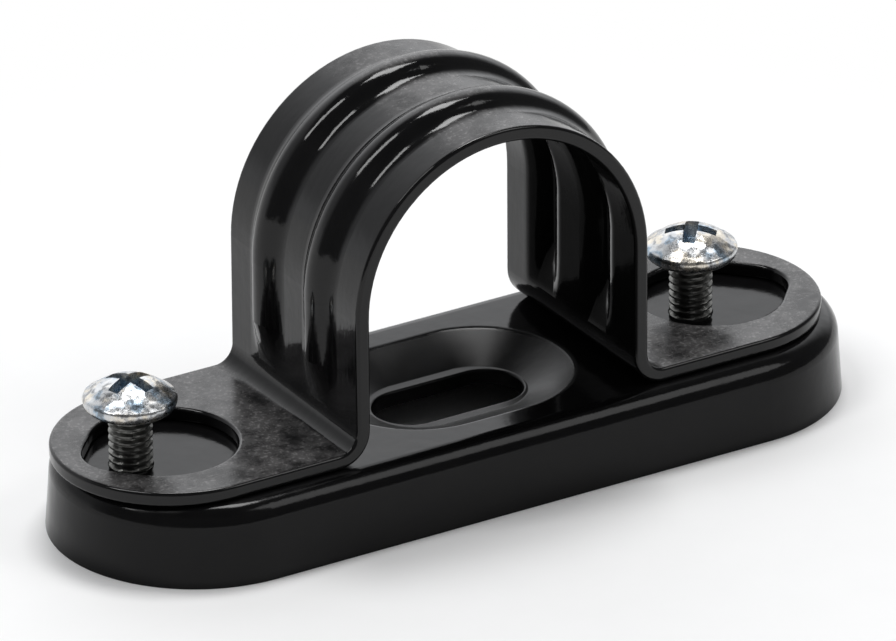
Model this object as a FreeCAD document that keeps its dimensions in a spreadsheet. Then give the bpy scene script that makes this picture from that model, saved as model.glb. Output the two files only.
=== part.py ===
import FreeCAD, Part
import math
import os
import Sketcher

# A spacer bar saddle for round conduit, in millimetres: a pressed bar that lies on the wall,
# a ribbed strap that arches over the conduit, and the two screws that hold the strap down.
# The origin is the middle of the bar's underside. +X runs along the bar, +Y along the conduit
# and +Z away from the wall.

Vector = FreeCAD.Vector

# How far an edge may lie from a level and still count as on it.
levelTolerance = 1e-4
# Faces that meet at less than this angle, in degrees, run on into each other.
smoothAngle = 20

doc = FreeCAD.newDocument("SpacerBarSaddle")
sheet = doc.addObject("Spreadsheet::Sheet", "Sizes")

drivingSizes = {
    # The conduit and the room it has in the arch.
    "conduit_diameter": 20.0,
    "conduit_clearance": 0.1,
    # The bar, an upturned pressed tray with sloping walls.
    "bar_length": 58.0,
    "bar_width": 20.0,
    "bar_height": 5.4,
    "bar_gauge": 1.0,
    "bar_draft": 4.0,
    "bar_edge_radius": 1.5,
    # The dish in the bar and the fixing slot in its floor.
    "dish_length": 17.6,
    "dish_width": 13.0,
    "dish_depth": 1.4,
    "dish_slope": 66.0,
    "slot_length": 10.8,
    "slot_width": 5.0,
    # The strap.
    "strap_gauge": 1.0,
    "strap_width": 16.2,
    "strap_end_inset": 0.7,
    "strap_slide": -0.6,
    "strap_bend_radius": 1.3,
    # The two ribs pressed outwards along the arch, which fade out low on its legs.
    "rib_height": 0.9,
    "rib_width": 4.4,
    "rib_pitch": 6.6,
    "rib_fade_bottom": 2.6,
    "rib_fade_length": 3.2,
    # The keyholes in the feet, placed from the ends of the strap.
    "keyhole_diameter": 9.8,
    "keyhole_inset": 7.3,
    "keyhole_tip_diameter": 5.8,
    "keyhole_tip_inset": 4.6,
    # The small rounds that the presses and the paint leave on the edges.
    "strap_edge_radius": 0.25,
    "dish_mouth_radius": 0.6,
    "slot_edge_radius": 0.2,
    # The screws and their tapped collars, placed from the ends of the bar.
    "screw_diameter": 3.0,
    "screw_thread_clearance": 0.05,
    "screw_tip_bevel": 0.4,
    "screw_tip_clearance": 1.4,
    "screw_head_diameter": 6.2,
    "screw_head_rim": 0.9,
    "screw_head_height": 2.2,
    "screw_rim_radius": 0.3,
    "recess_width": 0.9,
    "recess_span": 3.6,
    "recess_depth": 1.3,
    "screw_lift": 3.0,
    "left_screw_inset": 5.0,
    "right_screw_inset": 10.1,
    "collar_diameter": 5.0,
    "collar_height": 1.5,
}

# Sizes that follow from the ones above.
derivedSizes = {
    "bar_wall": "=bar_gauge / cos(bar_draft * 1deg)",
    "hollow_height": "=bar_height - bar_gauge",
    "hollow_edge_radius": "=bar_edge_radius - bar_gauge",
    "dish_floor": "=bar_height - dish_depth",
    "arch_radius": "=conduit_diameter / 2 + conduit_clearance",
    "arch_centre": "=bar_height + arch_radius",
    "bend_outer_radius": "=strap_bend_radius + strap_gauge",
    "bend_centre": "=bar_height + bend_outer_radius",
    "foot_start": "=arch_radius + bend_outer_radius",
    "strap_top": "=bar_height + strap_gauge",
    "strap_half_length": "=bar_length / 2 - strap_end_inset",
    "foot_end_centre": "=strap_half_length - strap_width / 2",
    "keyhole_centre": "=strap_half_length - keyhole_inset",
    "keyhole_tip_centre": "=strap_half_length - keyhole_tip_inset",
    "rib_run": "=rib_width / 2",
    "rib_curve": "=(rib_run ^ 2 + rib_height ^ 2) / (4 * rib_height)",
    "rib_start": "=rib_pitch / 2 - rib_run",
    "fade_bottom": "=bar_height + rib_fade_bottom",
    "fade_top": "=fade_bottom + rib_fade_length",
    "left_screw_place": "=left_screw_inset - bar_length / 2",
    "right_screw_place": "=bar_length / 2 - right_screw_inset",
    "screw_seat": "=strap_top + screw_lift",
    "screw_length": "=screw_seat - screw_tip_clearance",
    "shank_radius": "=screw_diameter / 2 - screw_thread_clearance",
}

for row, (alias, amount) in enumerate({**drivingSizes, **derivedSizes}.items(), start=1):
    sheet.set("A%d" % row, alias)
    sheet.set("B%d" % row, str(amount))
    sheet.setAlias("B%d" % row, alias)
doc.recompute()


def value(expression):
    return float(sheet.evalExpression(expression))


def newBody(name):
    body = doc.addObject("PartDesign::Body", name)
    body.Label = name
    return body


def originPlane(body, role):
    return next(plane for plane in body.Origin.OriginFeatures if plane.Role == role)


def newSketch(body, name, role, height=None):
    sketch = body.newObject("Sketcher::SketchObject", name)
    sketch.AttachmentSupport = [(originPlane(body, role), "")]
    sketch.MapMode = "FlatFace"
    if height:
        sketch.setExpression("AttachmentOffset.Base.z", height)
    return sketch


def newFeature(body, kind, name, profile, **sizes):
    feature = body.newObject("PartDesign::" + kind, name)
    feature.Profile = profile
    for key, expression in sizes.items():
        feature.setExpression(key, expression)
    return feature


def mirrored(body, name, role):
    mirror = body.newObject("PartDesign::Mirrored", name)
    mirror.MirrorPlane = (originPlane(body, role), [""])
    return mirror


def line(x1, y1, x2, y2):
    return Part.LineSegment(Vector(x1, y1, 0), Vector(x2, y2, 0))


def arc(x, y, radius, startAngle, endAngle):
    circle = Part.Circle(Vector(x, y, 0), Vector(0, 0, 1), radius)
    return Part.ArcOfCircle(circle, math.radians(startAngle), math.radians(endAngle))


def tie(sketch, kind, *places):
    sketch.addConstraint(Sketcher.Constraint(kind, *places))


def bind(sketch, name, kind, expression, *places):
    # A named dimension of a sketch that follows the sheet.
    index = sketch.addConstraint(Sketcher.Constraint(kind, *places, value(expression)))
    sketch.renameConstraint(index, name)
    sketch.setExpression("Constraints." + name, expression)


def closeLoop(sketch, edges):
    # Straight edges joined end to end into a closed outline.
    for first, second in zip(edges, edges[1:] + edges[:1]):
        tie(sketch, "Coincident", first, 2, second, 1)


def drawObround(sketch, halfStraight, radius):
    # A slot shape along X about the origin.
    a = value(halfStraight)
    r = value(radius)
    right = sketch.addGeometry(arc(a, 0, r, -90, 90))
    far = sketch.addGeometry(line(a, r, -a, r))
    left = sketch.addGeometry(arc(-a, 0, r, 90, 270))
    near = sketch.addGeometry(line(-a, -r, a, -r))
    loop = [right, far, left, near, right]
    for first, second in zip(loop, loop[1:]):
        tie(sketch, "Tangent", first, 2, second, 1)
    tie(sketch, "Horizontal", far)
    tie(sketch, "PointOnObject", right, 3, -1)
    tie(sketch, "Equal", right, left)
    bind(sketch, "right_centre", "DistanceX", halfStraight, -1, 1, right, 3)
    bind(sketch, "left_centre", "DistanceX", halfStraight, left, 3, -1, 1)
    bind(sketch, "end_radius", "Radius", radius, right)


def drawScrewCircles(sketch, diameter):
    # One circle on the bar's long axis at each screw.
    for side in ("left", "right"):
        place = "Sizes.%s_screw_place" % side
        x = value(place)
        circle = sketch.addGeometry(Part.Circle(Vector(x, 0, 0), Vector(0, 0, 1), value(diameter) / 2))
        tie(sketch, "PointOnObject", circle, 3, -1)
        if x < 0:
            bind(sketch, side + "_place", "DistanceX", "-" + place, circle, 3, -1, 1)
        else:
            bind(sketch, side + "_place", "DistanceX", place, -1, 1, circle, 3)
        bind(sketch, side + "_diameter", "Diameter", diameter, circle)


def isLevel(edge, height):
    box = edge.BoundBox
    return max(abs(box.ZMin - height), abs(box.ZMax - height)) < levelTolerance


def isSharp(shape, edge):
    middle = edge.valueAt((edge.FirstParameter + edge.LastParameter) / 2)
    faces = shape.ancestorsOfType(edge, Part.Face)
    normals = [face.normalAt(*face.Surface.parameter(middle)) for face in faces]
    return len(faces) == 2 and math.degrees(normals[0].getAngle(normals[1])) > smoothAngle


def roundEdges(body, name, feature, radius, height=None):
    # Rounds the sharp edges of a feature, either all of them or those at one height.
    doc.recompute()
    shape = feature.Shape
    names = []
    for number, edge in enumerate(shape.Edges, start=1):
        if isSharp(shape, edge) and (height is None or isLevel(edge, value(height))):
            names.append("Edge%d" % number)
    rounding = body.newObject("PartDesign::Fillet", name)
    rounding.Base = (feature, names)
    rounding.setExpression("Radius", radius)
    return rounding


def buildBar():
    bar = newBody("spacer_bar")
    outline = newSketch(bar, "BarOutline", "XY_Plane")
    drawObround(outline, "(Sizes.bar_length - Sizes.bar_width) / 2", "Sizes.bar_width / 2")
    block = newFeature(
        bar, "Pad", "BarBlock", outline, Length="Sizes.bar_height", TaperAngle="-Sizes.bar_draft"
    )
    roundEdges(bar, "BarEdge", block, "Sizes.bar_edge_radius", "Sizes.bar_height")
    # The hollow underneath leaves an even sheet with the same slope and a smaller corner.
    hollowOutline = newSketch(bar, "HollowOutline", "XY_Plane")
    drawObround(
        hollowOutline,
        "(Sizes.bar_length - Sizes.bar_width) / 2",
        "Sizes.bar_width / 2 - Sizes.bar_wall",
    )
    hollow = newFeature(
        bar, "Pocket", "Hollow", hollowOutline, Length="Sizes.hollow_height", TaperAngle="-Sizes.bar_draft"
    )
    hollow.Reversed = True
    roundEdges(bar, "HollowEdge", hollow, "Sizes.hollow_edge_radius", "Sizes.hollow_height")
    # The dish is pressed down into the hollow, so its underside is a bulge of the same slope.
    presses = [("Bulge", "Pad", "Sizes.hollow_height"), ("Dish", "Pocket", "Sizes.bar_height")]
    for name, kind, height in presses:
        mouth = newSketch(bar, name + "Outline", "XY_Plane", height)
        drawObround(mouth, "(Sizes.dish_length - Sizes.dish_width) / 2", "Sizes.dish_width / 2")
        press = newFeature(
            bar, kind, name, mouth, Length="Sizes.dish_depth", TaperAngle="-Sizes.dish_slope"
        )
        press.Reversed = kind == "Pad"
    roundEdges(bar, "DishMouth", press, "Sizes.dish_mouth_radius", "Sizes.bar_height")
    slotOutline = newSketch(bar, "SlotOutline", "XY_Plane", "Sizes.bar_height")
    drawObround(slotOutline, "(Sizes.slot_length - Sizes.slot_width) / 2", "Sizes.slot_width / 2")
    slot = newFeature(bar, "Pocket", "FixingSlot", slotOutline)
    slot.Type = "ThroughAll"
    roundEdges(bar, "SlotEdge", slot, "Sizes.slot_edge_radius", "Sizes.dish_floor")
    # Plunged collars under the sheet give the screw threads their depth.
    collarOutline = newSketch(bar, "CollarOutline", "XY_Plane", "Sizes.hollow_height")
    drawScrewCircles(collarOutline, "Sizes.collar_diameter")
    collars = newFeature(bar, "Pad", "Collars", collarOutline, Length="Sizes.collar_height")
    collars.Reversed = True
    holeOutline = newSketch(bar, "TappedHoleOutline", "XY_Plane", "Sizes.bar_height")
    drawScrewCircles(holeOutline, "Sizes.screw_diameter")
    holes = newFeature(bar, "Pocket", "TappedHoles", holeOutline)
    holes.Type = "ThroughAll"
    bar.Tip = holes
    return bar


def drawRibbedHalf(sketch):
    # Half the strap's section on one leg: middle land, rib and outer land, as a sheet of even
    # gauge. Each rib is three tangent arcs, shared in centre by the outer and the inner skin.
    inner = value("Sizes.arch_radius")
    gauge = value("Sizes.strap_gauge")
    outer = inner + gauge
    curve = value("Sizes.rib_curve")
    run = value("Sizes.rib_run")
    height = value("Sizes.rib_height")
    start = value("Sizes.rib_start")
    half = value("Sizes.strap_width") / 2
    turn = math.degrees(math.atan2(run, height - 2 * curve))
    skins = []
    for land, grow in ((outer, 0), (inner, gauge)):
        middleLand = sketch.addGeometry(line(land, 0, land, start))
        firstFoot = sketch.addGeometry(arc(outer + curve, start, curve + grow, turn, 180))
        crest = sketch.addGeometry(
            arc(outer + height - curve, start + run, curve - grow, turn - 180, 180 - turn)
        )
        secondFoot = sketch.addGeometry(arc(outer + curve, start + 2 * run, curve + grow, 180, 360 - turn))
        outerLand = sketch.addGeometry(line(land, start + 2 * run, land, half))
        tie(sketch, "Tangent", middleLand, 2, firstFoot, 2)
        tie(sketch, "Tangent", firstFoot, 1, crest, 1)
        tie(sketch, "Tangent", crest, 2, secondFoot, 2)
        tie(sketch, "Tangent", secondFoot, 1, outerLand, 1)
        tie(sketch, "Vertical", middleLand)
        tie(sketch, "Vertical", outerLand)
        skins.append((middleLand, firstFoot, crest, secondFoot, outerLand))
    front, back = skins
    for outerArc, innerArc in zip(front[1:4], back[1:4]):
        tie(sketch, "Coincident", outerArc, 3, innerArc, 3)
    middle = sketch.addGeometry(line(inner, 0, outer, 0))
    side = sketch.addGeometry(line(outer, half, inner, half))
    tie(sketch, "Coincident", middle, 1, back[0], 1)
    tie(sketch, "Coincident", middle, 2, front[0], 1)
    tie(sketch, "Coincident", side, 1, front[4], 2)
    tie(sketch, "Coincident", side, 2, back[4], 2)
    tie(sketch, "Horizontal", middle)
    tie(sketch, "Horizontal", side)
    tie(sketch, "PointOnObject", middle, 1, -1)
    bind(sketch, "inner_land", "DistanceX", "Sizes.arch_radius", -1, 1, middle, 1)
    bind(sketch, "gauge", "DistanceX", "Sizes.strap_gauge", middle, 1, middle, 2)
    bind(sketch, "outer_land", "DistanceX", "Sizes.arch_radius + Sizes.strap_gauge", -1, 1, side, 1)
    bind(sketch, "half_width", "DistanceY", "Sizes.strap_width / 2", middle, 1, side, 2)
    bind(sketch, "rib_start", "DistanceY", "Sizes.rib_start", -1, 1, front[1], 3)
    bind(sketch, "rib_middle", "DistanceY", "Sizes.rib_pitch / 2", -1, 1, front[2], 3)
    for name, outerArc in zip(("first_curve", "crest_curve", "second_curve"), front[1:4]):
        bind(sketch, name, "Radius", "Sizes.rib_curve", outerArc)


def drawFlatHalf(sketch):
    # The same half section where the rib has faded out, with as many edges as the ribbed one.
    inner = value("Sizes.arch_radius")
    outer = inner + value("Sizes.strap_gauge")
    steps = [
        "0",
        "Sizes.rib_start",
        "Sizes.rib_start + Sizes.rib_run / 2",
        "Sizes.rib_start + Sizes.rib_run * 3 / 2",
        "Sizes.rib_start + Sizes.rib_run * 2",
        "Sizes.strap_width / 2",
    ]
    across = [value(step) for step in steps]
    corners = [(outer, y) for y in across] + [(inner, y) for y in reversed(across)]
    edges = [
        sketch.addGeometry(line(*first, *second))
        for first, second in zip(corners, corners[1:] + corners[:1])
    ]
    count = len(steps)
    front = edges[: count - 1]
    side = edges[count - 1]
    back = edges[count:-1]
    middle = edges[-1]
    closeLoop(sketch, edges)
    tie(sketch, "PointOnObject", front[0], 1, -1)
    for edge in (middle, side):
        tie(sketch, "Horizontal", edge)
    for edge in front + back:
        tie(sketch, "Vertical", edge)
    bind(sketch, "inner_land", "DistanceX", "Sizes.arch_radius", -1, 1, middle, 1)
    bind(sketch, "gauge", "DistanceX", "Sizes.strap_gauge", middle, 1, middle, 2)
    for index, (edge, step) in enumerate(zip(front, steps[1:])):
        bind(sketch, "outer_step_%d" % index, "DistanceY", step, -1, 1, edge, 2)
    for index, (edge, step) in enumerate(zip(reversed(back), steps[1:-1])):
        bind(sketch, "inner_step_%d" % index, "DistanceY", step, -1, 1, edge, 1)


def drawArchPath(sketch):
    # From the top of the fade up one leg and over to the crown.
    radius = value("Sizes.arch_radius")
    centre = value("Sizes.arch_centre")
    leg = sketch.addGeometry(line(radius, value("Sizes.fade_top"), radius, centre))
    crown = sketch.addGeometry(arc(0, centre, radius, 0, 90))
    tie(sketch, "Tangent", leg, 2, crown, 1)
    tie(sketch, "Vertical", leg)
    tie(sketch, "PointOnObject", crown, 3, -2)
    tie(sketch, "PointOnObject", crown, 2, -2)
    bind(sketch, "radius", "Radius", "Sizes.arch_radius", crown)
    bind(sketch, "centre", "DistanceY", "Sizes.arch_centre", -1, 1, crown, 3)
    bind(sketch, "start", "DistanceY", "Sizes.fade_top", -1, 1, leg, 1)


def drawBend(sketch):
    # The foot of one leg in side view: a short upright and a quarter bend.
    inner = value("Sizes.arch_radius")
    outer = inner + value("Sizes.strap_gauge")
    bottom = value("Sizes.bar_height")
    top = value("Sizes.fade_bottom")
    centreX = value("Sizes.foot_start")
    centreZ = value("Sizes.bend_centre")
    head = sketch.addGeometry(line(inner, top, outer, top))
    outerLeg = sketch.addGeometry(line(outer, top, outer, centreZ))
    upper = sketch.addGeometry(arc(centreX, centreZ, value("Sizes.strap_bend_radius"), 180, 270))
    end = sketch.addGeometry(line(centreX, value("Sizes.strap_top"), centreX, bottom))
    lower = sketch.addGeometry(arc(centreX, centreZ, value("Sizes.bend_outer_radius"), 180, 270))
    innerLeg = sketch.addGeometry(line(inner, centreZ, inner, top))
    tie(sketch, "Coincident", head, 2, outerLeg, 1)
    tie(sketch, "Tangent", outerLeg, 2, upper, 1)
    tie(sketch, "Coincident", upper, 2, end, 1)
    tie(sketch, "Coincident", end, 2, lower, 2)
    tie(sketch, "Tangent", lower, 1, innerLeg, 1)
    tie(sketch, "Coincident", innerLeg, 2, head, 1)
    tie(sketch, "Coincident", upper, 3, lower, 3)
    tie(sketch, "Horizontal", head)
    for upright in (outerLeg, innerLeg, end):
        tie(sketch, "Vertical", upright)
    tie(sketch, "Vertical", upper, 2, upper, 3)
    bind(sketch, "lower_radius", "Radius", "Sizes.bend_outer_radius", lower)
    bind(sketch, "gauge", "DistanceX", "Sizes.strap_gauge", head, 1, head, 2)
    bind(sketch, "inner_face", "DistanceX", "Sizes.arch_radius", -1, 1, head, 1)
    bind(sketch, "top", "DistanceY", "Sizes.fade_bottom", -1, 1, head, 1)
    bind(sketch, "centre", "DistanceY", "Sizes.bend_centre", -1, 1, upper, 3)


def drawFoot(sketch):
    # One foot in plan: straight sides, a round end and a keyhole.
    start = value("Sizes.foot_start")
    endCentre = value("Sizes.foot_end_centre")
    half = value("Sizes.strap_width") / 2
    near = sketch.addGeometry(line(start, -half, endCentre, -half))
    end = sketch.addGeometry(arc(endCentre, 0, half, -90, 90))
    far = sketch.addGeometry(line(endCentre, half, start, half))
    root = sketch.addGeometry(line(start, half, start, -half))
    tie(sketch, "Tangent", near, 2, end, 1)
    tie(sketch, "Tangent", end, 2, far, 1)
    tie(sketch, "Coincident", far, 2, root, 1)
    tie(sketch, "Coincident", root, 2, near, 1)
    tie(sketch, "Vertical", root)
    tie(sketch, "Horizontal", near)
    tie(sketch, "Horizontal", far)
    tie(sketch, "PointOnObject", end, 3, -1)
    bind(sketch, "half_width", "Radius", "Sizes.strap_width / 2", end)
    bind(sketch, "end_centre", "DistanceX", "Sizes.foot_end_centre", -1, 1, end, 3)
    bind(sketch, "root_place", "DistanceX", "Sizes.foot_start", -1, 1, root, 1)
    drawKeyhole(sketch)


def drawKeyhole(sketch):
    # An egg-shaped hole: the screw's head passes its wide end and is held over its narrow tip.
    wideCentre = value("Sizes.keyhole_centre")
    wideRadius = value("Sizes.keyhole_diameter") / 2
    tipCentre = value("Sizes.keyhole_tip_centre")
    tipRadius = value("Sizes.keyhole_tip_diameter") / 2
    lean = math.acos((wideRadius - tipRadius) / (tipCentre - wideCentre))
    turn = math.degrees(lean)
    along = math.cos(lean)
    across = math.sin(lean)
    wideEnd = (wideCentre + wideRadius * along, wideRadius * across)
    tipEnd = (tipCentre + tipRadius * along, tipRadius * across)
    wide = sketch.addGeometry(arc(wideCentre, 0, wideRadius, turn, 360 - turn))
    near = sketch.addGeometry(line(wideEnd[0], -wideEnd[1], tipEnd[0], -tipEnd[1]))
    tip = sketch.addGeometry(arc(tipCentre, 0, tipRadius, -turn, turn))
    far = sketch.addGeometry(line(*tipEnd, *wideEnd))
    loop = [wide, near, tip, far, wide]
    for first, second in zip(loop, loop[1:]):
        tie(sketch, "Tangent", first, 2, second, 1)
    for end in (wide, tip):
        tie(sketch, "PointOnObject", end, 3, -1)
    bind(sketch, "keyhole_radius", "Radius", "Sizes.keyhole_diameter / 2", wide)
    bind(sketch, "keyhole_place", "DistanceX", "Sizes.keyhole_centre", -1, 1, wide, 3)
    bind(sketch, "tip_radius", "Radius", "Sizes.keyhole_tip_diameter / 2", tip)
    bind(sketch, "tip_place", "DistanceX", "Sizes.keyhole_tip_centre", -1, 1, tip, 3)


def buildStrap():
    strap = newBody("saddle_strap")
    # A quarter of the arch is swept and faded, then mirrored across both middle planes.
    ribbed = newSketch(strap, "RibbedSection", "XY_Plane", "Sizes.fade_top")
    drawRibbedHalf(ribbed)
    path = newSketch(strap, "ArchPath", "XZ_Plane")
    drawArchPath(path)
    flat = newSketch(strap, "FlatSection", "XY_Plane", "Sizes.fade_bottom")
    drawFlatHalf(flat)
    doc.recompute()
    arch = newFeature(strap, "AdditivePipe", "Arch", ribbed)
    arch.Spine = (path, ["Edge1", "Edge2"])
    fade = newFeature(strap, "AdditiveLoft", "RibFade", ribbed)
    fade.Sections = [flat]
    quarters = strap.newObject("PartDesign::MultiTransform", "Quarters")
    quarters.Originals = [arch, fade]
    quarters.Transformations = [
        mirrored(strap, "AcrossConduit", "XZ_Plane"),
        mirrored(strap, "AlongConduit", "YZ_Plane"),
    ]
    strap.Tip = quarters
    doc.recompute()
    bendOutline = newSketch(strap, "BendOutline", "XZ_Plane")
    drawBend(bendOutline)
    bend = newFeature(strap, "Pad", "Bend", bendOutline, Length="Sizes.strap_width")
    bend.SideType = "Symmetric"
    footOutline = newSketch(strap, "FootOutline", "XY_Plane", "Sizes.bar_height")
    drawFoot(footOutline)
    foot = newFeature(strap, "Pad", "Foot", footOutline, Length="Sizes.strap_gauge")
    doc.recompute()
    feet = mirrored(strap, "Feet", "YZ_Plane")
    feet.Originals = [bend, foot]
    strap.Tip = feet
    strap.Tip = roundEdges(strap, "StrapEdges", feet, "Sizes.strap_edge_radius")
    # The strap lies loose under its screws, a little off the bar's middle.
    strap.setExpression("Placement.Base.x", "Sizes.strap_slide")
    return strap


def drawScrewHalf(sketch):
    # Half a pan head screw in side view, from the underside of its head at the origin.
    shank = value("Sizes.shank_radius")
    length = value("Sizes.screw_length")
    bevel = value("Sizes.screw_tip_bevel")
    head = value("Sizes.screw_head_diameter") / 2
    rim = value("Sizes.screw_head_rim")
    top = value("Sizes.screw_head_height")
    rise = top - rim
    dome = (head ** 2 + rise ** 2) / (2 * rise)
    spread = math.degrees(math.asin(head / dome))
    axis = sketch.addGeometry(line(0, top, 0, -length))
    tip = sketch.addGeometry(line(0, -length, shank - bevel, -length))
    tipBevel = sketch.addGeometry(line(shank - bevel, -length, shank, bevel - length))
    side = sketch.addGeometry(line(shank, bevel - length, shank, 0))
    under = sketch.addGeometry(line(shank, 0, head, 0))
    edge = sketch.addGeometry(line(head, 0, head, rim))
    crown = sketch.addGeometry(arc(0, top - dome, dome, 90 - spread, 90))
    closeLoop(sketch, [axis, tip, tipBevel, side, under, edge, crown])
    for place in ((axis, 1), (axis, 2), (crown, 3)):
        tie(sketch, "PointOnObject", *place, -2)
    tie(sketch, "PointOnObject", under, 1, -1)
    for level in (tip, under):
        tie(sketch, "Horizontal", level)
    for upright in (side, edge):
        tie(sketch, "Vertical", upright)
    bind(sketch, "shank_radius", "DistanceX", "Sizes.shank_radius", -1, 1, side, 2)
    bind(sketch, "length", "DistanceY", "Sizes.screw_length", axis, 2, -1, 1)
    bind(sketch, "head_radius", "DistanceX", "Sizes.screw_head_diameter / 2", -1, 1, edge, 1)
    bind(sketch, "rim", "DistanceY", "Sizes.screw_head_rim", edge, 1, edge, 2)
    bind(sketch, "head_height", "DistanceY", "Sizes.screw_head_height", -1, 1, axis, 1)
    bind(sketch, "bevel_across", "DistanceX", "Sizes.screw_tip_bevel", tipBevel, 1, tipBevel, 2)
    bind(sketch, "bevel_up", "DistanceY", "Sizes.screw_tip_bevel", tipBevel, 1, tipBevel, 2)


def drawCross(sketch, span, width):
    # A cross about the origin, each of its twelve straight edges placed from the middle.
    far = value(span) / 2
    near = value(width) / 2
    arm = [(far, -near), (far, near), (near, near)]
    corners = []
    for turn in range(4):
        corners += arm
        arm = [(-y, x) for x, y in arm]
    edges = [
        sketch.addGeometry(line(*first, *second))
        for first, second in zip(corners, corners[1:] + corners[:1])
    ]
    closeLoop(sketch, edges)
    nextCorners = corners[1:] + corners[:1]
    for index, (edge, (x, y), (nextX, nextY)) in enumerate(zip(edges, corners, nextCorners)):
        upright = abs(nextX - x) < abs(nextY - y)
        tie(sketch, "Vertical" if upright else "Horizontal", edge)
        place = x if upright else y
        amount = (span if abs(place) > near else width) + " / 2"
        ends = (-1, 1, edge, 1) if place > 0 else (edge, 1, -1, 1)
        bind(sketch, "edge_%d" % index, "DistanceX" if upright else "DistanceY", amount, *ends)


def buildScrew(side):
    # The screw stands up from its tapped collar, with its head above the strap.
    screw = newBody(side + "_screw")
    outline = newSketch(screw, side + "ScrewOutline", "XZ_Plane")
    drawScrewHalf(outline)
    turned = newFeature(screw, "Revolution", side + "ScrewTurned", outline)
    turned.ReferenceAxis = (outline, ["V_Axis"])
    roundEdges(screw, side + "ScrewRim", turned, "Sizes.screw_rim_radius", "Sizes.screw_head_rim")
    recessOutline = newSketch(screw, side + "RecessOutline", "XY_Plane", "Sizes.screw_head_height")
    drawCross(recessOutline, "Sizes.recess_span", "Sizes.recess_width")
    recess = newFeature(screw, "Pocket", side + "Recess", recessOutline, Length="Sizes.recess_depth")
    screw.Tip = recess
    screw.setExpression("Placement.Base.x", "Sizes.%s_screw_place" % side)
    screw.setExpression("Placement.Base.z", "Sizes.screw_seat")
    return screw


subParts = [buildBar(), buildStrap()]
for side in ("left", "right"):
    subParts.append(buildScrew(side))
doc.recompute()

failed = [item.Name for item in doc.Objects if "Invalid" in item.State or "Error" in item.State]
if failed:
    raise RuntimeError("features that failed: " + ", ".join(failed))
os.makedirs("parts", exist_ok=True)
for subPart in subParts:
    shape = subPart.Shape
    if shape.isNull() or not shape.isValid() or len(shape.Solids) != 1:
        raise RuntimeError(subPart.Label + " isn't one sound solid")
    shape.exportStep("parts/" + subPart.Label + ".step")
    box = shape.optimalBoundingBox()
    print("%s: %.1f mm3, %.2f x %.2f x %.2f, from z %.2f" % (
        subPart.Label, shape.Volume, box.XLength, box.YLength, box.ZLength, box.ZMin
    ))
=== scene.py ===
import math
import bmesh
import bpy
from mathutils import Matrix, Quaternion, Vector


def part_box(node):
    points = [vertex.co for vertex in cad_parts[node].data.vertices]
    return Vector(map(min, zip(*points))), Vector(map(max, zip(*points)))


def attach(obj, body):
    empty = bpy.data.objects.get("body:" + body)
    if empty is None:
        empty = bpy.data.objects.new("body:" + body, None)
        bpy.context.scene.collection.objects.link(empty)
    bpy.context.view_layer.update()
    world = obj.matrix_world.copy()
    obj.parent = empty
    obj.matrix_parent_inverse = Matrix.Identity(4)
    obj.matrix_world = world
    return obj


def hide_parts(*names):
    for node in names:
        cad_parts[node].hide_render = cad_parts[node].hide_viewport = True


# A conduit saddle on its spacer bar, in gloss black stove enamel, with two bright zinc screws.

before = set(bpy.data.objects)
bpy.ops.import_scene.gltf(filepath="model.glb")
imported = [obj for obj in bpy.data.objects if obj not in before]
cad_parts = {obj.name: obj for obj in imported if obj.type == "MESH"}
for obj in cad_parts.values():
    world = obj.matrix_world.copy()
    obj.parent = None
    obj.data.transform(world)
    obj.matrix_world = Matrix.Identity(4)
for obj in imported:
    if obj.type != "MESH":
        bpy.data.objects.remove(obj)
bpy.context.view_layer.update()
scene = bpy.context.scene
mm = 0.001
print("frame loaded:", ", ".join(sorted(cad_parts)))


class Wire:  # a socket that can be used in sums
    def __init__(self, graph, socket):
        self.graph = graph
        self.socket = socket

    def __add__(self, other):
        return self.graph.math("ADD", self, other)

    __radd__ = __add__

    def __sub__(self, other):
        return self.graph.math("SUBTRACT", self, other)

    def __rsub__(self, other):
        return self.graph.math("SUBTRACT", other, self)

    def __mul__(self, other):
        return self.graph.math("MULTIPLY", self, other)

    __rmul__ = __mul__

    def __truediv__(self, other):
        return self.graph.math("DIVIDE", self, other)

    def __rtruediv__(self, other):
        return self.graph.math("DIVIDE", other, self)

    def __pow__(self, other):
        return self.graph.math("POWER", self, other)


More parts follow.
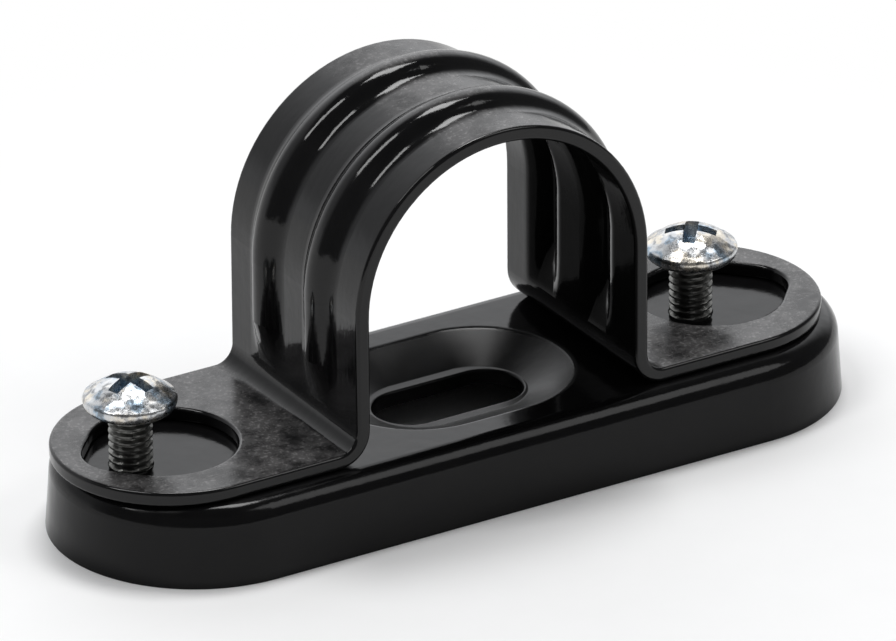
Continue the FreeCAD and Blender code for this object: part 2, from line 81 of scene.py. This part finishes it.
class Graph:  # the nodes of one material or of the world
    def __init__(self, tree):
        self.tree = tree
        tree.nodes.clear()

    def node(self, kind, settings, sockets, out=0):
        made = self.tree.nodes.new("ShaderNode" + kind)
        for name, amount in settings.items():
            setattr(made, name, amount)
        for name, amount in sockets.items():
            if isinstance(amount, Wire):
                self.tree.links.new(amount.socket, made.inputs[name])
            else:
                made.inputs[name].default_value = amount
        return Wire(self, made.outputs[out]) if made.outputs else made

    def math(self, operation, first, second):
        return self.node("Math", {"operation": operation}, {0: first, 1: second})

    def limit(self, low, high, amount):  # 0 at low, 1 at high, smooth between
        settings = {"interpolation_type": "SMOOTHSTEP"}
        return self.node("MapRange", settings, {"Value": amount, "From Min": low, "From Max": high})

    def tint(self, first, second, share):  # from one colour to another
        sockets = {"Factor": share, 6: first, 7: second}
        return self.node("Mix", {"data_type": "RGBA"}, sockets, 2)

    def place(self):  # where on the piece, in millimetres
        spot = self.node("TexCoord", {}, {}, "Object")
        return self.node("VectorMath", {"operation": "SCALE"}, {0: spot, "Scale": 1 / mm})

    def noise(self, spot, size, detail, rough):  # grains about this many millimetres across
        sockets = {"Vector": spot, "Scale": 1 / size, "Detail": detail, "Roughness": rough}
        return self.node("TexNoise", {}, sockets)

    def parts(self, spot):
        made = self.node("SeparateXYZ", {}, {"Vector": spot})
        return [Wire(self, socket) for socket in made.socket.node.outputs]

    def bump(self, height, depth, below=None):  # depth in millimetres
        sockets = {"Height": height, "Distance": depth * mm, "Strength": 1.0}
        if below:
            sockets["Normal"] = below
        return self.node("Bump", {}, sockets)

    def vector(self, operation, first, second):
        out = "Value" if operation == "DOT_PRODUCT" else "Vector"
        return self.node("VectorMath", {"operation": operation}, {0: first, 1: second}, out)

    def coat(self, sockets):
        return self.node("BsdfPrincipled", {}, sockets)

    def output(self, shader):
        self.node("OutputMaterial", {}, {"Surface": shader})


def newGraph(name):
    material = bpy.data.materials.new(name)
    material.use_nodes = True
    return material, Graph(material.node_tree)


enamel = {
    "black": (0.0022, 0.0022, 0.0025, 1.0),
    "worn black": (0.0060, 0.0058, 0.0060, 1.0),
    # size, detail and roughness of each noise
    "cloud": (1.8, 5.0, 0.65),
    "peel": (1.7, 2.0, 0.5),
    "grain": (0.20, 3.0, 0.6),
    "smear": (4.0, 5.0, 0.62),
    "speck": (0.28, 2.0, 0.7),
    "peel depth": 0.020,
    "grain depth": 0.0014,
    "grain gloss": 0.03,
    "smear range": (0.45, 0.70),
    "smear gloss": 0.06,
    "level range": (0.90, 0.99),  # upward part of the normal on a level face
    "level floor": 0.75,
    "level cloud": 0.5,
    "dust": (0.150, 0.146, 0.146, 1.0),
    "dust range": (0.25, 0.75),
    "dust floor": 0.55,
    "speck range": (0.50, 0.72),
    "speck share": 0.9,
    "speck height": 0.8,
}

bar = {
    "material": "barEnamel",
    "shift": 0.0,
    "refraction": 1.27,
    "gloss": 0.11,
    "level gloss": 0.10,
    "dust share": 0.0,
    "dish gloss": 0.17,  # added to the roughness
    "dish length": (9.6, 9.0),
    "dish width": (7.2, 6.7),
    "dish top": (5.38, 5.25),
}

strap = {
    "material": "strapEnamel",
    "shift": 40.0,
    "refraction": 1.37,
    "gloss": 0.07,
    "level gloss": 0.19,
    "dust share": 1.0,
    "arch centre": (-0.6, 0.0, 15.5),
    "arch radius": 10.6,
    "draw": (0.40, 2.0, 0.6),  # size across the strip, detail and roughness
    "draw length": 10.0,  # times as long as wide
    "draw depth": 0.0060,
    "least rise": 0.001,  # keeps the turn at a right angle below the arch
    # painted shade: the flat black that stands in for the shade inside the arch
    "painted shade black": (0.0030, 0.0030, 0.0030, 1.0),
    "inside gloss": 0.6,
    "painted shade share": 0.9,
    "inside reach": (-2.0, -6.0),  # how far the face looks towards the arch's axis
    "inside foot": (7.0, 8.5),
    "inside facing": (0.22, 0.08),
    "inside back": (5.9, 5.0),
}


def dishMask(graph, here):
    across, depth, height = graph.parts(here)
    length = graph.limit(*bar["dish length"], graph.math("ABSOLUTE", across, 0.0))
    width = graph.limit(*bar["dish width"], graph.math("ABSOLUTE", depth, 0.0))
    return length * width * graph.limit(*bar["dish top"], height)


def drawLines(graph, here):  # lines that the press draws along the strip
    across, depth, up = graph.parts(graph.vector("SUBTRACT", here, strap["arch centre"]))
    # how far along: up one leg, over the arch and down the other
    turn = graph.math("ARCTAN2", across, graph.math("MAXIMUM", up, strap["least rise"]))
    drop = graph.math("SIGN", across, 0.0) * graph.math("MINIMUM", up, 0.0)
    path = (turn * strap["arch radius"] - drop) / strap["draw length"]
    return graph.noise(graph.node("CombineXYZ", {}, {"X": path, "Y": depth}), *strap["draw"])


def paintShadeInside(graph, shell, here, normal):  # painted shade: inside the arch the glossy coat is mixed into a flat black without reflections
    reach = graph.vector("SUBTRACT", here, strap["arch centre"])
    reach = graph.vector("MULTIPLY", reach, (1.0, 0.0, 1.0))
    _, facing, _ = graph.parts(normal)
    _, depth, height = graph.parts(here)
    inside = graph.limit(*strap["inside reach"], graph.vector("DOT_PRODUCT", reach, normal))
    inside = inside * graph.limit(*strap["inside foot"], height)
    # but not on the near sides of the ribs and at the back edge
    inside = inside * graph.limit(*strap["inside facing"], facing) * graph.limit(*strap["inside back"], depth)
    sockets = {"Base Color": strap["painted shade black"], "Roughness": strap["inside gloss"], "Specular IOR Level": 0.0}
    shadeCoat = graph.coat(sockets)
    return graph.node("MixShader", {}, {"Fac": inside * strap["painted shade share"], 1: shell, 2: shadeCoat})


def makeEnamel(piece):
    material, graph = newGraph(piece["material"])
    here = graph.place()
    spot = graph.vector("ADD", here, (piece["shift"], 0.0, 0.0))
    normal = graph.node("NewGeometry", {}, {}, "Normal")
    level = graph.limit(*enamel["level range"], graph.parts(normal)[2])
    peel = graph.noise(spot, *enamel["peel"])
    grain = graph.noise(spot, *enamel["grain"])
    smears = graph.limit(*enamel["smear range"], graph.noise(spot, *enamel["smear"]))
    cloud = graph.noise(spot, *enamel["cloud"])
    specks = graph.limit(*enamel["speck range"], graph.noise(spot, *enamel["speck"]))
    dust = level * graph.limit(*enamel["dust range"], cloud)
    dust = dust * (enamel["dust floor"] + specks * enamel["speck share"])
    base = graph.tint(enamel["black"], enamel["worn black"], cloud)
    colour = graph.tint(base, enamel["dust"], dust * piece["dust share"])
    rough = piece["gloss"] + smears * enamel["smear gloss"] + grain * enamel["grain gloss"]
    worn = level * (piece["level gloss"] - piece["gloss"])
    rough = rough + worn * (enamel["level floor"] + cloud * enamel["level cloud"])
    surface = graph.bump(peel, enamel["peel depth"])
    if piece is bar:
        rough = rough + dishMask(graph, here) * bar["dish gloss"]
    if piece is strap:
        surface = graph.bump(drawLines(graph, here), strap["draw depth"], surface)
    surface = graph.bump(grain + specks * enamel["speck height"], enamel["grain depth"], surface)
    shell = graph.coat({"Base Color": colour, "Roughness": rough, "Normal": surface, "IOR": piece["refraction"]})
    graph.output(paintShadeInside(graph, shell, here, normal) if piece is strap else shell)
    return material


zinc = {
    "silver": (0.58, 0.59, 0.60, 1.0),
    # blue is both a random tint of the plating and the painted reflection and shade in the cross recess
    "blue": (0.28, 0.40, 0.52, 1.0),
    "cream": (0.82, 0.73, 0.58, 1.0),
    "shade": (0.16, 0.16, 0.16, 1.0),
    "shank": (0.20, 0.20, 0.19, 1.0),
    # size, detail and roughness of each noise
    "sheen": (1.1, 2.0, 0.5),
    "patch": (0.55, 3.0, 0.6),
    "frost": (0.12, 3.0, 0.65),
    "blue range": (0.52, 0.64),
    "blue share": 0.75,
    "cream range": (0.48, 0.36),
    "cream share": 0.6,
    "shade range": (0.50, 0.66),
    "shade share": 0.75,
    "recess reach": (1.9, 1.6),
    "recess height": (1.75, 1.45),
    "painted recess share": 0.6,
    "under head": (0.05, -0.05),
    "gloss": 0.24,
    "shank gloss": 0.15,
    "smear": 0.12,
    "smear range": (0.35, 0.7),
    "facet size": 0.62,
    "facet round": 0.25,
    "facet depth": 0.05,
    "frost depth": 0.0012,
}


def makeZinc(name, shift):
    material, graph = newGraph(name)
    here = graph.place()
    spot = graph.vector("ADD", here, (shift, 0.0, 0.0))
    across, along, up = graph.parts(here)
    out = (across * across + along * along) ** 0.5
    facets = {"Vector": spot, "Scale": 1 / zinc["facet size"], "Smoothness": zinc["facet round"]}
    facets = graph.node("TexVoronoi", {"feature": "SMOOTH_F1"}, facets, "Distance")
    frost = graph.noise(spot, *zinc["frost"])
    sheen = graph.noise(spot, *zinc["sheen"])
    patch = graph.noise(spot, *zinc["patch"])
    below = graph.limit(*zinc["under head"], up)
    # painted shade and reflection: the cross recess is tinted a darker blue
    paintedRecessShade = graph.limit(*zinc["recess reach"], out) * graph.limit(*zinc["recess height"], up)
    blue = graph.limit(*zinc["blue range"], sheen) * zinc["blue share"]
    cream = graph.limit(*zinc["cream range"], sheen) * zinc["cream share"]
    shade = graph.limit(*zinc["shade range"], patch) * zinc["shade share"]
    colour = graph.tint(zinc["silver"], zinc["blue"], blue)
    colour = graph.tint(colour, zinc["cream"], cream)
    colour = graph.tint(colour, zinc["shade"], shade)
    colour = graph.tint(colour, zinc["blue"], paintedRecessShade * zinc["painted recess share"])
    # the shank below the head is tinted a darker grey
    colour = graph.tint(colour, zinc["shank"], below)
    smears = graph.limit(*zinc["smear range"], frost)
    rough = zinc["gloss"] + zinc["smear"] * smears + below * zinc["shank gloss"]
    surface = graph.bump(facets, zinc["facet depth"])
    surface = graph.bump(frost, zinc["frost depth"], surface)
    graph.output(graph.coat({"Base Color": colour, "Metallic": 1.0, "Roughness": rough, "Normal": surface}))
    return material


def dress(node, material):
    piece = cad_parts[node]
    piece.data.materials.clear()
    piece.data.materials.append(material)
    print("finish on", node)


dress("spacer_bar", makeEnamel(bar))
dress("saddle_strap", makeEnamel(strap))


screw = {
    "segments": 96,
    "pitch": 0.5,
    "levels per pitch": 8,
    "root radius": 1.18,
    "ridge top": 1.75,
    "ridge slope": 5.0,
    "tip bevel": 0.4,
    "head height": 2.15,
    "rim": 0.75,
    "rim round": 0.70,
    "top round": 0.35,
    "dome": 2.2,
    "dome steps": 12,
    "sharp angle": 40.0,
    "recess span": 3.6,
    "recess width": 0.95,
    "recess depth": 1.35,
    "recess taper": 0.16,
    "recess draw": 0.5,  # how much shorter each arm is at the floor
    "recess rise": 0.2,  # how far the cutter stands out of the head
    "shank radius": 1.45,
    "shank overlap": 0.1,  # into the head
    "sliver": 0.0005,
}


def ring(mesh, radii, height):
    turn = 2 * math.pi / len(radii)
    corners = []
    for index, radius in enumerate(radii):
        angle = index * turn
        corners.append(mesh.verts.new((radius * math.cos(angle), radius * math.sin(angle), height)))
    return corners


def skin(mesh, rings):
    for lower, upper in zip(rings, rings[1:]):
        for index in range(len(lower)):
            after = (index + 1) % len(lower)
            mesh.faces.new((lower[index], lower[after], upper[after], upper[index]))
    mesh.faces.new(list(reversed(rings[0])))
    mesh.faces.new(rings[-1])


def threadRadii(height, crest, tip):
    radii = []
    for index in range(screw["segments"]):
        along = (height / screw["pitch"] - index / screw["segments"]) % 1.0
        ridge = min(1.0, max(0.0, screw["ridge top"] - abs(along - 0.5) * screw["ridge slope"]))
        radius = screw["root radius"] + (crest - screw["root radius"]) * ridge
        bevel = max(0.0, screw["tip bevel"] - (height - tip))
        radii.append(min(radius, crest - bevel))
    return radii


def makeShank(tip):
    mesh = bmesh.new()
    step = screw["pitch"] / screw["levels per pitch"]
    length = screw["shank overlap"] - tip
    count = round(length / step)
    rings = []
    for level in range(count + 1):
        height = tip + length * level / count
        rings.append(ring(mesh, threadRadii(height, screw["shank radius"], tip), height))
    skin(mesh, rings)
    return mesh


def roundCorner(centre, radius, start, end, steps=6):
    points = []
    for index in range(steps + 1):
        angle = math.radians(start + (end - start) * index / steps)
        points.append((centre[0] + radius * math.cos(angle), centre[1] + radius * math.sin(angle)))
    return points


def headProfile(width):
    low = screw["rim round"]
    high = screw["top round"]
    rise = screw["dome"] - screw["rim"]
    dome = (width ** 2 + rise ** 2) / (2 * rise)
    slope = math.degrees(math.asin((width - high) / dome))
    points = roundCorner((width - low, low), low, -90, 0)
    points += roundCorner((width - high, screw["rim"]), high, 0, 90 - slope)
    edge = points[-1][0]
    for index in range(1, screw["dome steps"]):
        radius = edge * (1 - index / screw["dome steps"])
        sink = dome - math.sqrt(dome ** 2 - radius ** 2)
        points.append((radius, screw["dome"] - sink))
    return points


def makeHead(width):
    mesh = bmesh.new()
    rings = [ring(mesh, [radius] * screw["segments"], height) for radius, height in headProfile(width)]
    skin(mesh, rings)
    return mesh


def makeCross():
    mesh = bmesh.new()
    reach, half = screw["recess span"] / 2, screw["recess width"] / 2
    taper = screw["recess taper"]
    floor = (screw["dome"] - screw["recess depth"], reach - screw["recess draw"], half - taper)
    top = (screw["dome"] + screw["recess rise"], reach + taper, half)
    levels = []
    for height, far, near in (floor, top):
        arm = [(far, -near), (far, near), (near, near)]
        corners = []
        for quarter in range(4):
            corners += [mesh.verts.new((x, y, height)) for x, y in arm]
            arm = [(-y, x) for x, y in arm]
        levels.append(corners)
    skin(mesh, levels)
    return mesh


def asObject(name, mesh):
    data = bpy.data.meshes.new(name)
    bmesh.ops.recalc_face_normals(mesh, faces=mesh.faces)
    mesh.to_mesh(data)
    mesh.free()
    piece = bpy.data.objects.new(name, data)
    scene.collection.objects.link(piece)
    return piece


def settle(piece):  # the mesh as its modifiers leave it, without slivers
    graph = bpy.context.evaluated_depsgraph_get()
    settled = bpy.data.meshes.new_from_object(piece.evaluated_get(graph))
    piece.modifiers.clear()
    piece.data = settled
    mesh = bmesh.new()
    mesh.from_mesh(settled)
    bmesh.ops.remove_doubles(mesh, verts=mesh.verts, dist=screw["sliver"])
    bmesh.ops.recalc_face_normals(mesh, faces=mesh.faces)
    mesh.to_mesh(settled)
    mesh.free()


def combine(piece, operation, other):
    join = piece.modifiers.new(operation.lower(), "BOOLEAN")
    join.operation = operation
    join.object = other
    join.solver = "EXACT"


def makeScrew(side, turn, material):
    low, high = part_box(side + "_screw")
    width = (high.x - low.x) / 2 / mm
    seat = high.z / mm - screw["head height"]
    head = asObject(side + "Screw", makeHead(width))
    cross = asObject(side + "Cross", makeCross())
    shank = asObject(side + "Shank", makeShank(low.z / mm - seat))
    combine(head, "DIFFERENCE", cross)
    combine(head, "UNION", shank)
    settle(head)
    bpy.data.objects.remove(cross)
    bpy.data.objects.remove(shank)
    head.data.shade_smooth()
    head.data.set_sharp_from_angle(angle=math.radians(screw["sharp angle"]))
    head.data.transform(Matrix.Scale(mm, 4))
    head.rotation_euler = (0.0, 0.0, math.radians(turn))
    head.location = ((low.x + high.x) / 2, (low.y + high.y) / 2, seat * mm)
    head.data.materials.clear()
    head.data.materials.append(material)
    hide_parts(side + "_screw")
    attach(head, "root")
    print(side, "screw:", len(head.data.polygons), "faces")


makeScrew("left", 20.0, makeZinc("leftScrewZinc", 0.0))
makeScrew("right", 52.0, makeZinc("rightScrewZinc", 9.0))


table = {
    "size": 6.0,
    "colour": (0.95, 0.95, 0.95, 1.0),
    "fleck": (0.93, 0.93, 0.93, 1.0),
    "fleck noise": (3.0, 3.0, 0.5),
    "gloss": 0.9,
    "drop": 0.02,
    "shadow edge": (32.0, 70.0),
}


def makeTable():
    mesh = bmesh.new()
    bmesh.ops.create_grid(mesh, x_segments=4, y_segments=4, size=table["size"] / 2)
    piece = asObject("table", mesh)
    piece.location.z = -table["drop"] * mm
    material, graph = newGraph("tablePaper")
    here = graph.place()
    colour = graph.tint(table["colour"], table["fleck"], graph.noise(here, *table["fleck noise"]))
    paper = graph.coat({"Base Color": colour, "Roughness": table["gloss"], "Specular IOR Level": 0.0})
    # away from the shadow the table runs into a white background
    white = graph.node("Emission", {}, {"Strength": 1.0})
    rays = ("Is Camera Ray", "Is Glossy Ray", "Is Transmission Ray")
    seen = graph.math("MINIMUM", sum(graph.node("LightPath", {}, {}, ray) for ray in rays), 1.0)
    reach = graph.node("VectorMath", {"operation": "LENGTH"}, {0: here}, "Value")
    far = graph.limit(*table["shadow edge"], reach)
    graph.output(graph.node("MixShader", {}, {"Fac": far * seen, 1: paper, 2: white}))
    piece.data.materials.append(material)


makeTable()


lamps = {
    # name: azimuth, elevation, distance, width, height, brightness
    "overhead": (45.0, 75.0, 0.45, 0.17, 0.12, 14.0),
    "leftStrip": (-78.0, 61.0, 0.45, 0.075, 0.22, 10.0),
    "frontCard": (133.0, 50.0, 0.45, 0.18, 0.18, 3.0),
}


def direction(azimuth, elevation):  # 0 is straight behind the object, 90 is to its right
    turn = math.radians(azimuth)
    lift = math.radians(elevation)
    return Vector((math.sin(turn) * math.cos(lift), math.cos(turn) * math.cos(lift), math.sin(lift)))


def makeLamp(name, azimuth, elevation, distance, width, height, brightness):
    light = bpy.data.lights.new(name, "AREA")
    light.shape = "RECTANGLE"
    light.size = width
    light.size_y = height
    light.energy = brightness * width * height * math.pi  # watts that give this radiance
    lamp = bpy.data.objects.new(name, light)
    towards = direction(azimuth, elevation)
    lamp.location = towards * distance
    lamp.rotation_euler = towards.to_track_quat("Z", "Y").to_euler()
    scene.collection.objects.link(lamp)


for name, facts in lamps.items():
    makeLamp(name, *facts)


studio = {
    "left card": 0.65,
    "right card": 1.75,
    "wall": 0.95,
    "front": 0.16,
    "top": 0.10,
    "sky": (0.97, 0.98, 1.0, 1.0),
    # the parts of the ray's direction between which one tone runs into the next
    "front to back": (0.15, 0.60),
    "top to card": (0.84, 0.66),
    "wall to card": (0.05, 0.25),
    "left to right": (-0.60, 0.25),
}


def makeStudio():
    world = bpy.data.worlds.new("studio")
    world.use_nodes = True
    graph = Graph(world.node_tree)
    across, along, up = graph.parts(graph.node("TexCoord", {}, {}, "Generated"))
    behind = graph.limit(*studio["front to back"], along)
    low = graph.limit(*studio["top to card"], up)
    lifted = graph.limit(*studio["wall to card"], up)
    turned = graph.limit(*studio["left to right"], across)
    card = studio["left card"] + turned * (studio["right card"] - studio["left card"])
    wall = studio["wall"] + lifted * (card - studio["wall"])
    level = studio["front"] + behind * (wall - studio["front"])
    level = studio["top"] + low * (level - studio["top"])
    seen = graph.node("LightPath", {}, {}, "Is Camera Ray")
    level = level + seen * (1 - level)
    sky = graph.node("Background", {}, {"Color": studio["sky"], "Strength": level})
    graph.node("OutputWorld", {}, {"Surface": sky})
    scene.world = world


makeStudio()
print("studio lit")


view = {
    "azimuth": 31.242,
    "elevation": 25.736,
    "roll": -0.336,
    "target": (0.061, 0.0, 9.534),
    "distance": 796.5,
    "focal pixels": 12156.9,
    "image width": 896,
    "sensor": 36.0,
}


def makeCamera():
    data = bpy.data.cameras.new("camera")
    data.sensor_fit = "HORIZONTAL"
    data.sensor_width = view["sensor"]
    data.lens = view["focal pixels"] * view["sensor"] / view["image width"]
    camera = bpy.data.objects.new("camera", data)
    away = direction(180 + view["azimuth"], view["elevation"])
    camera.location = (Vector(view["target"]) + away * view["distance"]) * mm
    roll = Quaternion((0, 0, 1), math.radians(view["roll"]))
    camera.rotation_euler = (away.to_track_quat("Z", "Y") @ roll).to_euler()
    scene.collection.objects.link(camera)
    scene.camera = camera


makeCamera()
scene.view_settings.view_transform = "Standard"
